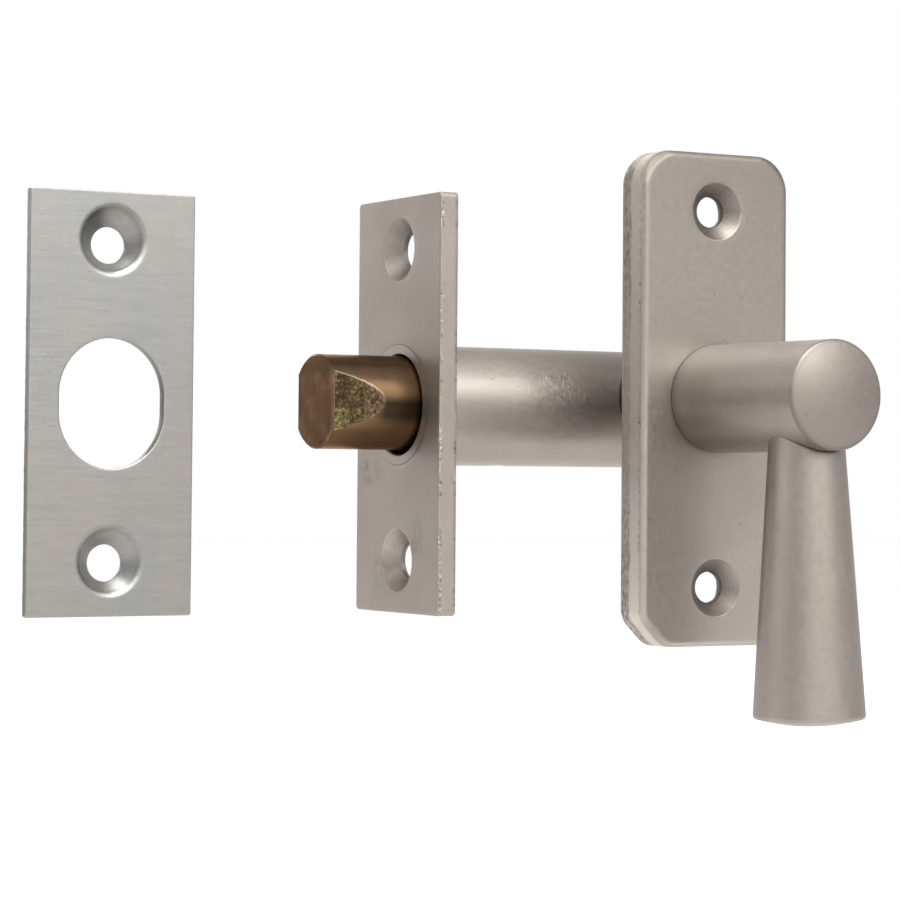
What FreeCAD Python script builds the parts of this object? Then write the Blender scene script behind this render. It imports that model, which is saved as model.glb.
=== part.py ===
import FreeCAD, Part
import math
import os

# Mortise bolt worked by a lever handle, with its strike plate.
#
# Frame: millimetres, +Z up. The origin is where the axis of the barrel meets the back face of the
# forend, the face that seats in the edge of the door. The barrel runs back along +X, the bolt is
# thrown towards -X, and the handle plate faces -Y.
# Everything is drawn at rest: bolt thrown, lever hanging down.

V = FreeCAD.Vector
ALONG_X = V(1, 0, 0)
ALONG_Y = V(0, 1, 0)
ALONG_Z = V(0, 0, 1)

# How far a cutting body runs past the face that it cuts
cut_over = 1.0

# Forend
forend_height = 60.0
forend_width = 25.0
forend_thickness = 2.8
forend_corner_radius = 0.8
forend_edge_radius = 0.25
forend_screw_spacing = 45.0
forend_screw_hole = 4.8
forend_sink_diameter = 9.2

# Barrel tube
tube_outer_diameter = 17.4
tube_wall = 1.45
tube_mouth_chamfer = 0.2

# Pinion and rack
module_size = 0.95
pinion_teeth = 9
pressure_angle = 25.0
tooth_addendum = 0.8
tooth_dedendum = 1.0
tooth_backlash = 0.14
lever_turn = 180.0
pinion_width = 6.2
journal_diameter = 6.8
journal_reach = 7.3
journal_clearance = 0.05

# Bearings that close the side holes of the tube and carry the pinion
bearing_diameter = 11.1
bearing_fit = 0.05
bearing_end_gap = 0.2
bearing_flush_depth = 0.1

# Spindle
spindle_square = 4.0
spindle_fit = 0.05
spindle_backset = 38.0
spindle_height = 1.1
spindle_socket_depth = 18.05
spindle_end_gap = 0.3

# Bolt
bolt_clearance = 0.475
bolt_rise = 0.25
bolt_tip_flat_share = 0.765
bolt_tip_ramp_depth = 1.6
bolt_tip_ramp_length = 7.8
bolt_tip_edge = 0.3
rack_teeth_ahead = 1
rack_teeth_behind = 6
rack_start_margin = 0.2
rack_end_margin = 1.4
rack_set_in = 0.1
rack_side_clearance = 0.25

# Guide pin under the bolt
guide_pin_diameter = 2.5
guide_pin_place = 16.3
guide_pin_reach = 1.9
guide_slot_clearance = 0.12

# Friction ball on top of the bolt
ball_diameter = 3.0
ball_place = 8.0
ball_wall_gap = 0.05
ball_bore_clearance = 0.08
friction_spring_length = 5.0
friction_spring_wall = 0.4
friction_spring_clearance = 0.1
friction_spring_drop = 0.75

# Plug in the back end of the tube
plug_gap = 0.6
plug_length = 3.6
plug_pin_diameter = 2.0

# Handle plate
door_half_thickness = 20.0
plate_height = 70.8
plate_width = 25.0
plate_thickness = 5.8
plate_corner_radius = 5.0
plate_edge_radius = 0.9
plate_screw_spacing = 54.0
plate_screw_hole = 4.7
plate_sink_diameter = 8.4
plate_recess_diameter = 16.4
plate_recess_end_gap = 0.04

# Bush, washers and retaining ring behind the plate
spigot_diameter = 10.4
bush_wall = 1.1
bush_fit = 0.05
bush_flange_clearance = 0.3
bush_flange_thickness = 0.7
washer_thickness = 0.4
wave_washer_thickness = 0.3
wave_washer_height = 0.7
wave_washer_waves = 3
wave_washer_steps = 8
wave_washer_diameter = 14.2
wave_washer_clearance = 0.2
ring_thickness = 0.7
ring_outer_diameter = 13.6
ring_groove_depth = 0.6
ring_opening_angle = 64.0
ring_fit = 0.02
stack_gap = 0.06
spigot_end_margin = 0.3

# Lever hub
hub_gap = 0.15
hub_length = 28.5
hub_base_diameter = 15.5
hub_taper = 0.3
hub_dome_height = 1.2
hub_rim_radius = 0.3

# Lever grip
grip_from_hub_end = 6.9
grip_length = 44.0
grip_neck_diameter = 9.6
grip_end_diameter = 15.5
grip_dome_height = 1.1
grip_rim_radius = 0.4
grip_hang_angle = 0.9
grip_neck_start = 4.5

# Stud between hub and grip, and the grub screw that holds the spindle
stud_diameter = 5.0
stud_in_hub = 3.6
stud_in_grip = 9.0
stud_thread_fit = 0.03
grub_diameter = 3.0
grub_place = 9.0
grub_socket = 1.5
grub_socket_depth = 1.6
grub_sunk = 0.6

# Strike plate
strike_height = 60.0
strike_width = 25.0
strike_thickness = 1.5
strike_screw_spacing = 45.0
strike_screw_hole = 5.2
strike_sink_diameter = 9.65
strike_sink_depth = 2.05
strike_dimple_wall = 0.6
strike_slot_width = 16.0
strike_slot_height = 19.0
strike_x = -43.0
strike_y = 10.3
strike_z = -0.4

# Values worked out from the sizes above
front_face = -forend_thickness
tube_outer = tube_outer_diameter / 2
tube_inner = tube_outer - tube_wall
pitch_radius = module_size * pinion_teeth / 2
tooth_pitch = math.pi * module_size
throw = pitch_radius * math.radians(lever_turn)
axis_x = front_face + spindle_backset
axis_z = spindle_height
pitch_line = axis_z - pitch_radius
rack_tip = pitch_line + tooth_addendum * module_size
rack_root = pitch_line - tooth_dedendum * module_size
rack_half = pinion_width / 2 - rack_set_in
bearing_face = pinion_width / 2 + bearing_end_gap
bolt_radius = tube_inner - bolt_clearance
bolt_bottom = bolt_rise - bolt_radius
bolt_tip_x = front_face - throw
bolt_shoulder = axis_x - (rack_teeth_behind + 0.5) * tooth_pitch - rack_start_margin
bolt_tail_end = axis_x + rack_teeth_ahead * tooth_pitch + rack_end_margin
tail_top = axis_z - bearing_diameter / 2 - rack_side_clearance
plug_face = bolt_tail_end + throw + plug_gap
tube_end = plug_face + plug_length
guide_pin_x = front_face + guide_pin_place
ball_x = front_face + ball_place
ball_z = tube_inner - ball_wall_gap - ball_diameter / 2
ball_bore_floor = ball_z - ball_diameter / 2 - friction_spring_length
plate_back = -door_half_thickness
plate_front = plate_back - plate_thickness
spigot_radius = spigot_diameter / 2
bush_bore = spigot_radius + bush_fit
bush_flange_radius = plate_recess_diameter / 2 - bush_flange_clearance
spigot_end = plate_back - plate_recess_end_gap
ring_back = spigot_end - spigot_end_margin
ring_front = ring_back - ring_thickness
wave_washer_front = ring_front - stack_gap - wave_washer_height
washer_front = wave_washer_front - washer_thickness
recess_floor = washer_front - bush_flange_thickness
hub_base = plate_front - hub_gap
hub_end = hub_base - hub_length
hub_end_diameter = hub_base_diameter - hub_taper
grip_y = hub_end + grip_from_hub_end
spindle_socket_end = hub_base - spindle_socket_depth


def rod(radius, length, base, direction):
    return Part.makeCylinder(radius, length, base, direction)


def block(x0, x1, y0, y1, z0, z1):
    return Part.makeBox(x1 - x0, y1 - y0, z1 - z0, V(x0, y0, z0))


def barrel_rod(radius, x_from, x_to):
    """A round rod on the barrel axis, from one X to another."""
    return rod(radius, x_to - x_from, V(x_from, 0, 0), ALONG_X)


def spindle_rod(radius, y_from, y_to):
    """A round rod on the spindle axis, from one Y to another."""
    return rod(radius, abs(y_to - y_from), V(axis_x, min(y_from, y_to), axis_z), ALONG_Y)


def square_bar(side, y_from, y_to):
    """A square bar on the spindle axis."""
    half = side / 2
    low_y = min(y_from, y_to)
    high_y = max(y_from, y_to)
    return block(axis_x - half, axis_x + half, low_y, high_y, axis_z - half, axis_z + half)


def turned(profile, centre, axis):
    """A solid of revolution from a closed list of points round an axis through centre."""
    wire = Part.makePolygon(profile + [profile[0]])
    return Part.Face(wire).revolve(centre, axis, 360)


def edges_where(shape, test):
    return [edge for edge in shape.Edges if all(test(vertex.Point) for vertex in edge.Vertexes)]


def near(a, b):
    return abs(a - b) < 1e-4


def runs_along_x(edge):
    start = edge.Vertexes[0]
    end = edge.Vertexes[-1]
    return near(start.Y, end.Y) and near(start.Z, end.Z)


def screw_sink(centre, inward, sideways, thickness, hole, sink):
    """The cutter of a countersunk screw hole: a 90 degree cone, then a plain hole."""
    points = [
        (0, -cut_over),
        (sink / 2 + cut_over, -cut_over),
        (hole / 2, (sink - hole) / 2),
        (hole / 2, thickness + cut_over),
        (0, thickness + cut_over),
    ]
    profile = [centre + sideways * r + inward * depth for r, depth in points]
    return turned(profile, centre, inward)


def make_forend():
    half_width = forend_width / 2
    half_height = forend_height / 2
    plate = block(front_face, 0, -half_width, half_width, -half_height, half_height)
    at_corner = edges_where(plate, lambda p: near(abs(p.y), half_width) and near(abs(p.z), half_height))
    plate = plate.makeFillet(forend_corner_radius, [edge for edge in at_corner if runs_along_x(edge)])
    plate = plate.makeFillet(forend_edge_radius, edges_where(plate, lambda p: near(p.x, front_face)))
    plate = plate.cut(barrel_rod(tube_outer, front_face - cut_over, cut_over))
    for side in (-1, 1):
        centre = V(front_face, 0, side * forend_screw_spacing / 2)
        hole, sink = forend_screw_hole, forend_sink_diameter
        plate = plate.cut(screw_sink(centre, ALONG_X, ALONG_Y, forend_thickness, hole, sink))
    return plate


def side_hole(radius):
    """The hole across the tube for the bearings."""
    return spindle_rod(radius, -tube_outer - cut_over, tube_outer + cut_over)


def plug_pin_rod(start, end):
    """A rod as thick as the plug's pin, across the tube from one Z to another."""
    return rod(plug_pin_diameter / 2, end - start, V((plug_face + tube_end) / 2, 0, start), ALONG_Z)


def make_barrel_tube():
    tube = barrel_rod(tube_outer, front_face, tube_end)
    tube = tube.cut(barrel_rod(tube_inner, front_face - cut_over, tube_end + cut_over))
    mouth = V(front_face, 0, 0)
    wide = tube_inner + tube_mouth_chamfer
    tube = tube.cut(Part.makeCone(wide, tube_inner, tube_mouth_chamfer, mouth, ALONG_X))
    tube = tube.cut(side_hole(bearing_diameter / 2 + bearing_fit))
    tube = tube.cut(rod(guide_pin_diameter / 2, tube_outer, V(guide_pin_x, 0, 0), -ALONG_Z))
    return tube.cut(plug_pin_rod(-tube_outer - cut_over, tube_outer + cut_over))


def make_end_plug():
    plug = barrel_rod(tube_inner, plug_face, tube_end)
    return plug.cut(plug_pin_rod(-tube_outer - cut_over, tube_outer + cut_over))


def make_plug_pin():
    return plug_pin_rod(-tube_outer, tube_outer).common(barrel_rod(tube_outer, front_face, tube_end))


def make_guide_pin():
    length = bolt_bottom + guide_pin_reach + tube_outer
    pin = rod(guide_pin_diameter / 2, length, V(guide_pin_x, 0, -tube_outer), ALONG_Z)
    return pin.common(barrel_rod(tube_outer, front_face, tube_end))


def make_bearing(side):
    """A disc that fills the side hole of the tube, shaped to the tube outside and bored for the journal."""
    outside = side * (tube_outer + cut_over)
    disc = spindle_rod(bearing_diameter / 2, side * bearing_face, outside)
    disc = disc.common(barrel_rod(tube_outer - bearing_flush_depth, front_face, tube_end))
    return disc.cut(spindle_rod(journal_diameter / 2 + journal_clearance, 0, outside))


def tooth_half_angle(radius, thickness):
    """Half the angle of an involute tooth at a radius, from its thickness on the pitch circle."""
    base_radius = pitch_radius * math.cos(math.radians(pressure_angle))
    at_pitch = math.radians(pressure_angle)
    at_radius = math.acos(min(1.0, base_radius / radius))
    involute_pitch = math.tan(at_pitch) - at_pitch
    involute_here = math.tan(at_radius) - at_radius
    return thickness / (2 * pitch_radius) + involute_pitch - involute_here


def pinion_point(radius, angle, y):
    """A point of the pinion, its angle counted from straight down towards +X."""
    return V(axis_x + radius * math.sin(angle), y, axis_z - radius * math.cos(angle))


def make_pinion():
    thickness = tooth_pitch / 2 - tooth_backlash
    root_radius = pitch_radius - tooth_dedendum * module_size
    tip_radius = pitch_radius + tooth_addendum * module_size
    base_radius = pitch_radius * math.cos(math.radians(pressure_angle))
    mid_radius = (base_radius + tip_radius) / 2
    y = -pinion_width / 2
    step = 2 * math.pi / pinion_teeth
    edges = []
    for tooth in range(pinion_teeth):
        middle = (tooth + 0.5) * step
        base_half = tooth_half_angle(base_radius, thickness)
        mid_half = tooth_half_angle(mid_radius, thickness)
        tip_half = tooth_half_angle(tip_radius, thickness)
        rise = [pinion_point(root_radius, middle - base_half, y),
                pinion_point(base_radius, middle - base_half, y),
                pinion_point(mid_radius, middle - mid_half, y),
                pinion_point(tip_radius, middle - tip_half, y)]
        fall = [pinion_point(tip_radius, middle + tip_half, y),
                pinion_point(mid_radius, middle + mid_half, y),
                pinion_point(base_radius, middle + base_half, y),
                pinion_point(root_radius, middle + base_half, y)]
        gap_middle = pinion_point(root_radius, middle + step / 2, y)
        next_root = pinion_point(root_radius, middle + step - base_half, y)
        edges.append(Part.makeLine(rise[0], rise[1]))
        edges.append(Part.Arc(rise[1], rise[2], rise[3]).toShape())
        edges.append(Part.Arc(rise[3], pinion_point(tip_radius, middle, y), fall[0]).toShape())
        edges.append(Part.Arc(fall[0], fall[1], fall[2]).toShape())
        edges.append(Part.makeLine(fall[2], fall[3]))
        edges.append(Part.Arc(fall[3], gap_middle, next_root).toShape())
    outline = Part.Wire(Part.__sortEdges__(edges))
    gear = Part.Face(outline).extrude(V(0, pinion_width, 0))
    for side in (-1, 1):
        gear = gear.fuse(spindle_rod(journal_diameter / 2, -side * y, side * journal_reach))
    hole = spindle_square + 2 * spindle_fit
    return gear.removeSplitter().cut(square_bar(hole, -journal_reach - cut_over, journal_reach + cut_over))


def rack_gap(centre_x):
    """The cutter of one gap between two rack teeth: straight sides at the pressure angle."""
    slope = math.tan(math.radians(pressure_angle))
    half_at_pitch = (tooth_pitch / 2 + tooth_backlash) / 2
    bottom = half_at_pitch - (pitch_line - rack_root) * slope
    above = rack_tip + module_size / 2
    top = half_at_pitch + (above - pitch_line) * slope
    points = [(-bottom, rack_root), (bottom, rack_root), (top, above), (-top, above)]
    y = -rack_half - cut_over
    wire = Part.makePolygon([V(centre_x + dx, y, z) for dx, z in points + points[:1]])
    return Part.Face(wire).extrude(V(0, -2 * y, 0))


def tip_flat(side):
    """The cutter of one slanted flat on the tip of the bolt."""
    slope = bolt_tip_ramp_depth / bolt_tip_ramp_length
    flat = bolt_tip_flat_share * bolt_radius
    ramp_end = bolt_tip_x + bolt_tip_ramp_length
    before_tip = bolt_tip_x - cut_over
    outside = flat + bolt_tip_ramp_depth + bolt_radius
    under = bolt_bottom - cut_over
    points = [
        V(before_tip, side * (flat - slope * cut_over), under),
        V(ramp_end, side * (flat + bolt_tip_ramp_depth), under),
        V(ramp_end, side * outside, under),
        V(before_tip, side * outside, under),
    ]
    wire = Part.makePolygon(points + points[:1])
    return Part.Face(wire).extrude(V(0, 0, 2 * (bolt_radius + cut_over)))


def guide_slot():
    """The cutter of the slot under the bolt, in which the guide pin stands."""
    half = guide_pin_diameter / 2 + guide_slot_clearance
    top = bolt_bottom + guide_pin_reach + guide_slot_clearance
    start = guide_pin_x - throw
    slot = block(start, guide_pin_x, -half, half, -tube_outer, top)
    for end in (start, guide_pin_x):
        slot = slot.fuse(rod(half, top + tube_outer, V(end, 0, -tube_outer), ALONG_Z))
    return slot.removeSplitter()


def make_bolt():
    bolt = rod(bolt_radius, bolt_tail_end - bolt_tip_x, V(bolt_tip_x, 0, bolt_rise), ALONG_X)
    bolt = bolt.makeChamfer(bolt_tip_edge, edges_where(bolt, lambda p: near(p.x, bolt_tip_x)))
    for side in (-1, 1):
        bolt = bolt.cut(tip_flat(side))
    past_tail = bolt_tail_end + cut_over
    past_side = bolt_radius + cut_over
    past_top = bolt_rise + bolt_radius + cut_over
    bolt = bolt.cut(block(bolt_shoulder, past_tail, -past_side, past_side, rack_tip, past_top))
    for y0, y1 in ((-past_side, -rack_half), (rack_half, past_side)):
        bolt = bolt.cut(block(bolt_shoulder, past_tail, y0, y1, tail_top, past_top))
    for gap in range(-rack_teeth_behind, rack_teeth_ahead + 2):
        bolt = bolt.cut(rack_gap(axis_x + (gap - 0.5) * tooth_pitch))
    bolt = bolt.cut(guide_slot())
    bore_radius = ball_diameter / 2 + ball_bore_clearance
    return bolt.cut(rod(bore_radius, tube_outer - ball_bore_floor, V(ball_x, 0, ball_bore_floor), ALONG_Z))


def make_friction_ball():
    return Part.makeSphere(ball_diameter / 2, V(ball_x, 0, ball_z))


def make_friction_spring():
    outer = ball_diameter / 2 - friction_spring_clearance
    top = ball_z - friction_spring_drop
    sleeve = rod(outer, top - ball_bore_floor, V(ball_x, 0, ball_bore_floor), ALONG_Z)
    under = V(ball_x, 0, ball_bore_floor - cut_over)
    sleeve = sleeve.cut(rod(outer - friction_spring_wall, top - under.z + cut_over, under, ALONG_Z))
    seat_radius = ball_diameter / 2 + friction_spring_clearance / 2
    return sleeve.cut(Part.makeSphere(seat_radius, V(ball_x, 0, ball_z)))


def make_spindle():
    return square_bar(spindle_square, spindle_socket_end + spindle_end_gap, journal_reach)


def plate_outline(y):
    """The rounded rectangle of the handle plate at a Y, as one wire of lines and quarter arcs."""
    half_width = plate_width / 2
    half_height = plate_height / 2
    radius = plate_corner_radius
    inner_x = half_width - radius
    inner_z = half_height - radius
    edges = []
    for quarter, (sx, sz) in enumerate(((1, 1), (-1, 1), (-1, -1), (1, -1))):
        centre = V(axis_x + sx * inner_x, y, axis_z + sz * inner_z)
        angles = [math.radians(90 * quarter + turn) for turn in (0, 45, 90)]
        points = [centre + V(radius * math.cos(turn), 0, radius * math.sin(turn)) for turn in angles]
        edges.append(Part.Arc(points[0], points[1], points[2]).toShape())
    ends = [(edge.firstVertex().Point, edge.lastVertex().Point) for edge in edges]
    for here in range(4):
        edges.append(Part.makeLine(ends[here][1], ends[(here + 1) % 4][0]))
    return Part.Wire(Part.__sortEdges__(edges))


def make_handle_plate():
    plate = Part.Face(plate_outline(plate_back)).extrude(V(0, -plate_thickness, 0))
    plate = plate.makeFillet(plate_edge_radius, edges_where(plate, lambda p: near(p.y, plate_front)))
    plate = plate.cut(spindle_rod(bush_bore + bush_wall, plate_back + cut_over, plate_front - cut_over))
    plate = plate.cut(spindle_rod(plate_recess_diameter / 2, plate_back + cut_over, recess_floor))
    for side in (-1, 1):
        centre = V(axis_x, plate_front, axis_z + side * plate_screw_spacing / 2)
        hole, sink = plate_screw_hole, plate_sink_diameter
        plate = plate.cut(screw_sink(centre, ALONG_Y, ALONG_X, plate_thickness, hole, sink))
    return plate


def make_spindle_bush():
    sleeve = spindle_rod(bush_bore + bush_wall, recess_floor, plate_front)
    flange = spindle_rod(bush_flange_radius, recess_floor, washer_front)
    bush = sleeve.fuse(flange)
    return bush.cut(spindle_rod(bush_bore, plate_back, plate_front - cut_over))


def make_thrust_washer():
    washer = spindle_rod(bush_flange_radius, washer_front, wave_washer_front)
    return washer.cut(spindle_rod(bush_bore, washer_front - cut_over, wave_washer_front + cut_over))


def make_wave_washer():
    """A thin ring bent into waves: ruled strips between an inner and an outer wavy edge."""
    inner = bush_bore + wave_washer_clearance
    outer = wave_washer_diameter / 2
    swing = (wave_washer_height - wave_washer_thickness) / 2
    count = wave_washer_steps * wave_washer_waves

    def point(radius, step, lift):
        angle = 2 * math.pi * step / count
        wave = swing * math.cos(angle * wave_washer_waves)
        y = wave_washer_front + swing + wave + lift
        return V(axis_x + radius * math.cos(angle), y, axis_z + radius * math.sin(angle))

    faces = []
    rings = ((inner, 0), (outer, 0), (outer, wave_washer_thickness), (inner, wave_washer_thickness))
    for here in range(4):
        radius_a, lift_a = rings[here]
        radius_b, lift_b = rings[(here + 1) % 4]
        for step in range(count):
            a = point(radius_a, step, lift_a)
            b = point(radius_a, step + 1, lift_a)
            c = point(radius_b, step + 1, lift_b)
            d = point(radius_b, step, lift_b)
            faces.append(Part.Face(Part.makePolygon([a, b, c, a])))
            faces.append(Part.Face(Part.makePolygon([a, c, d, a])))
    solid = Part.makeSolid(Part.makeShell(faces))
    if solid.Volume < 0:
        solid.reverse()
    return solid


def make_retaining_ring():
    inner = spigot_radius - ring_groove_depth + ring_fit
    ring = spindle_rod(ring_outer_diameter / 2, ring_front, ring_back)
    ring = ring.cut(spindle_rod(inner, ring_front - cut_over, ring_back + cut_over))
    half = math.radians(ring_opening_angle / 2)
    side_x = ring_outer_diameter * math.sin(half)
    top_z = axis_z + ring_outer_diameter * math.cos(half)
    y = ring_front - cut_over
    corners = [V(axis_x, y, axis_z), V(axis_x + side_x, y, top_z), V(axis_x - side_x, y, top_z)]
    wedge = Part.Face(Part.makePolygon(corners + corners[:1]))
    return ring.cut(wedge.extrude(V(0, ring_thickness + 2 * cut_over, 0)))


def hang(shape):
    """Turn a piece round the spindle axis by the small angle at which the lever hangs."""
    shape.rotate(V(axis_x, 0, axis_z), ALONG_Y, -grip_hang_angle)
    return shape


def domed_rod(near_radius, far_radius, length, dome, rim, start, direction, sideways):
    """A slightly tapered rod, turned from one profile. Its far end has a rounded rim and a low dome."""

    def point(radius, along):
        return start + sideways * radius + direction * along

    cap_radius = (far_radius ** 2 + dome ** 2) / (2 * dome)

    def dome_along(radius):
        return length + dome - cap_radius + math.sqrt(cap_radius ** 2 - radius ** 2)

    cut_corner = rim * (1 - math.sqrt(0.5))
    rim_radius = far_radius - rim
    taper = (far_radius - near_radius) / length
    side_end = point(far_radius - taper * rim, length - rim)
    rim_middle = point(far_radius - cut_corner, length - cut_corner)
    rim_end = point(rim_radius, dome_along(rim_radius))
    dome_middle = point(rim_radius / 2, dome_along(rim_radius / 2))
    peak = point(0, length + dome)
    foot = point(near_radius, 0)
    edges = [
        Part.makeLine(start, foot),
        Part.makeLine(foot, side_end),
        Part.Arc(side_end, rim_middle, rim_end).toShape(),
        Part.Arc(rim_end, dome_middle, peak).toShape(),
        Part.makeLine(peak, start),
    ]
    return Part.Face(Part.Wire(edges)).revolve(start, direction, 360)


def hub_body():
    near_radius = hub_base_diameter / 2
    far_radius = hub_end_diameter / 2
    start = V(axis_x, hub_base, axis_z)
    dome, rim = hub_dome_height, hub_rim_radius
    return domed_rod(near_radius, far_radius, hub_length, dome, rim, start, -ALONG_Y, ALONG_X)


def stud_rod(radius):
    start = V(axis_x, grip_y, axis_z - hub_base_diameter / 2 + stud_in_hub)
    return hang(rod(radius, stud_in_hub + stud_in_grip, start, -ALONG_Z))


def grub_rod(radius, from_axis, to_axis):
    base = V(axis_x + from_axis, hub_base - grub_place, axis_z)
    return rod(radius, to_axis - from_axis, base, ALONG_X)


def make_hub():
    hub = hub_body().fuse(spindle_rod(spigot_radius, hub_base, spigot_end))
    groove = spindle_rod(spigot_radius + cut_over, ring_front, ring_back)
    groove = groove.cut(spindle_rod(spigot_radius - ring_groove_depth, spigot_end, hub_base))
    hub = hub.cut(groove)
    hub = hub.cut(square_bar(spindle_square + 2 * spindle_fit, spindle_socket_end, spigot_end + cut_over))
    hub = hub.cut(stud_rod(stud_diameter / 2 + stud_thread_fit))
    return hub.cut(grub_rod(grub_diameter / 2 + stud_thread_fit, 0, hub_base_diameter))


def make_grip():
    far = grip_end_diameter / 2
    neck = grip_neck_diameter / 2
    taper = (far - neck) / grip_length
    top = neck + taper * grip_neck_start
    start = V(axis_x, grip_y, axis_z - grip_neck_start)
    length = grip_length - grip_neck_start
    body = hang(domed_rod(top, far, length, grip_dome_height, grip_rim_radius, start, -ALONG_Z, ALONG_X))
    base = V(axis_x, hub_base, axis_z)
    seat = Part.makeCone(hub_base_diameter / 2, hub_end_diameter / 2, hub_length, base, -ALONG_Y)
    return body.cut(seat).cut(stud_rod(stud_diameter / 2 + stud_thread_fit))


def make_grip_stud():
    return stud_rod(stud_diameter / 2)


def make_grub_screw():
    outer = hub_base_diameter / 2 - grub_sunk
    screw = grub_rod(grub_diameter / 2, spindle_square / 2, outer)
    across_corners = grub_socket / math.cos(math.radians(30)) / 2
    face = V(axis_x + outer, hub_base - grub_place, axis_z)
    points = []
    for corner in range(7):
        turn = math.radians(60 * corner)
        points.append(face + (ALONG_Y * math.cos(turn) + ALONG_Z * math.sin(turn)) * across_corners)
    socket = Part.Face(Part.makePolygon(points))
    return screw.cut(socket.extrude(V(-grub_socket_depth, 0, 0)))


def strike_dimple(side):
    """The cone pressed into the strike for a screw head, and the hollow of that cone."""
    centre = V(strike_x, strike_y, strike_z + side * strike_screw_spacing / 2)
    sink = strike_sink_diameter / 2
    hole = strike_screw_hole / 2
    wall = strike_dimple_wall
    middle = strike_thickness / 2
    bottom = strike_sink_depth + wall
    outside = [(0, middle), (sink + wall, middle), (sink + wall, strike_thickness)]
    outside += [(hole + wall, bottom), (0, bottom)]
    hollow = [(0, -cut_over), (sink, -cut_over), (sink, 0), (hole, strike_sink_depth)]
    hollow += [(hole, bottom + cut_over), (0, bottom + cut_over)]
    shapes = []
    for points in (outside, hollow):
        profile = [centre + ALONG_X * r + ALONG_Y * y for r, y in points]
        shapes.append(turned(profile, centre, ALONG_Y))
    return shapes


def make_strike_plate():
    back = strike_y + strike_thickness
    half_width = strike_width / 2
    half_height = strike_height / 2
    low_z = strike_z - half_height
    high_z = strike_z + half_height
    plate = block(strike_x - half_width, strike_x + half_width, strike_y, back, low_z, high_z)
    radius = strike_slot_width / 2
    straight = strike_slot_height / 2 - radius
    before = strike_y - cut_over
    after = back + cut_over
    low_z = strike_z - straight
    high_z = strike_z + straight
    slot = block(strike_x - radius, strike_x + radius, before, after, low_z, high_z)
    for end_z in (low_z, high_z):
        slot = slot.fuse(rod(radius, after - before, V(strike_x, before, end_z), ALONG_Y))
    plate = plate.cut(slot.removeSplitter())
    for side in (-1, 1):
        cone, hollow = strike_dimple(side)
        plate = plate.fuse(cone).cut(hollow)
    return plate.removeSplitter()


PIECES = {
    "forend": make_forend,
    "barrel_tube": make_barrel_tube,
    "end_plug": make_end_plug,
    "end_plug_pin": make_plug_pin,
    "guide_pin": make_guide_pin,
    "near_bearing": lambda: make_bearing(-1),
    "far_bearing": lambda: make_bearing(1),
    "lock_bolt": make_bolt,
    "friction_ball": make_friction_ball,
    "friction_spring": make_friction_spring,
    "drive_pinion": make_pinion,
    "spindle": make_spindle,
    "handle_plate": make_handle_plate,
    "spindle_bush": make_spindle_bush,
    "thrust_washer": make_thrust_washer,
    "wave_washer": make_wave_washer,
    "retaining_ring": make_retaining_ring,
    "lever_hub": make_hub,
    "lever_grip": make_grip,
    "grip_stud": make_grip_stud,
    "grub_screw": make_grub_screw,
    "strike_plate": make_strike_plate,
}

os.makedirs("parts", exist_ok=True)
for name, make in PIECES.items():
    shape = make()
    shape.exportStep(os.path.join("parts", name + ".step"))
    print(f"{name:16s} solids {len(shape.Solids)} volume {shape.Volume:9.2f} valid {shape.isValid()}")
print(f"throw {throw:.4f} mm for a lever turn of {lever_turn:.0f} degrees")
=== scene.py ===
import bpy
import bmesh
import numpy as np
from mathutils import Matrix
from mathutils.geometry import delaunay_2d_cdt


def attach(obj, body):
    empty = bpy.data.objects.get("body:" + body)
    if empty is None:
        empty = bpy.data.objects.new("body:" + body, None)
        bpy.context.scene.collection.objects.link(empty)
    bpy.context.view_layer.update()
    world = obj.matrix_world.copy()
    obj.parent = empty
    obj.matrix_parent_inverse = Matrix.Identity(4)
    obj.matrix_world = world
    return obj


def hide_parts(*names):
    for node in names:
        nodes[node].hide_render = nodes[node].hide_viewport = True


# A mortise bolt worked by a lever handle, with its strike plate. Lengths are metres, and the frame
# is that of the built parts: barrel back along +X, bolt out along -X, handle plate facing -Y.
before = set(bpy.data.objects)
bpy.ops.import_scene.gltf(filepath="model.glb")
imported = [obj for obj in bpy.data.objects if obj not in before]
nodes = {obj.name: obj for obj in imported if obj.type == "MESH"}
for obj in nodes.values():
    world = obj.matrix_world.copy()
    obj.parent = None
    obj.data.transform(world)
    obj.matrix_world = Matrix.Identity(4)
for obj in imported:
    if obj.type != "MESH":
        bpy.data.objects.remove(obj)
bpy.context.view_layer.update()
mm = 0.001


# Camera
# A long lens from the bolt's side, a hand's width lower than eye level with the barrel, so that
# the end of the bolt, the forend, the barrel and the handle show at once.
camera_azimuth, camera_elevation, camera_roll = np.radians([-29.4516, -2.2504, 0.4531])
camera_place = np.array([-208.697, -383.205, -10.745]) * mm
camera_focal_px, camera_centre_px, picture_px = 3007.74, (461.13, 361.48), 900


def direction(azimuth, elevation):
    """The unit vector towards an azimuth and an elevation, and the level unit vector to its right."""
    level, rise = np.cos(elevation), np.sin(elevation)
    outward = np.array([np.sin(azimuth) * level, -np.cos(azimuth) * level, rise])
    return outward, np.array([np.cos(azimuth), np.sin(azimuth), 0.0])


def stand(made, place, right, up, back):
    """Puts an object in the scene at a place, its own axes along right, up and back."""
    bpy.context.scene.collection.objects.link(made)
    turn = Matrix(np.column_stack([right, up, back]).tolist())
    made.matrix_world = Matrix.Translation(place.tolist()) @ turn.to_4x4()


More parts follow.
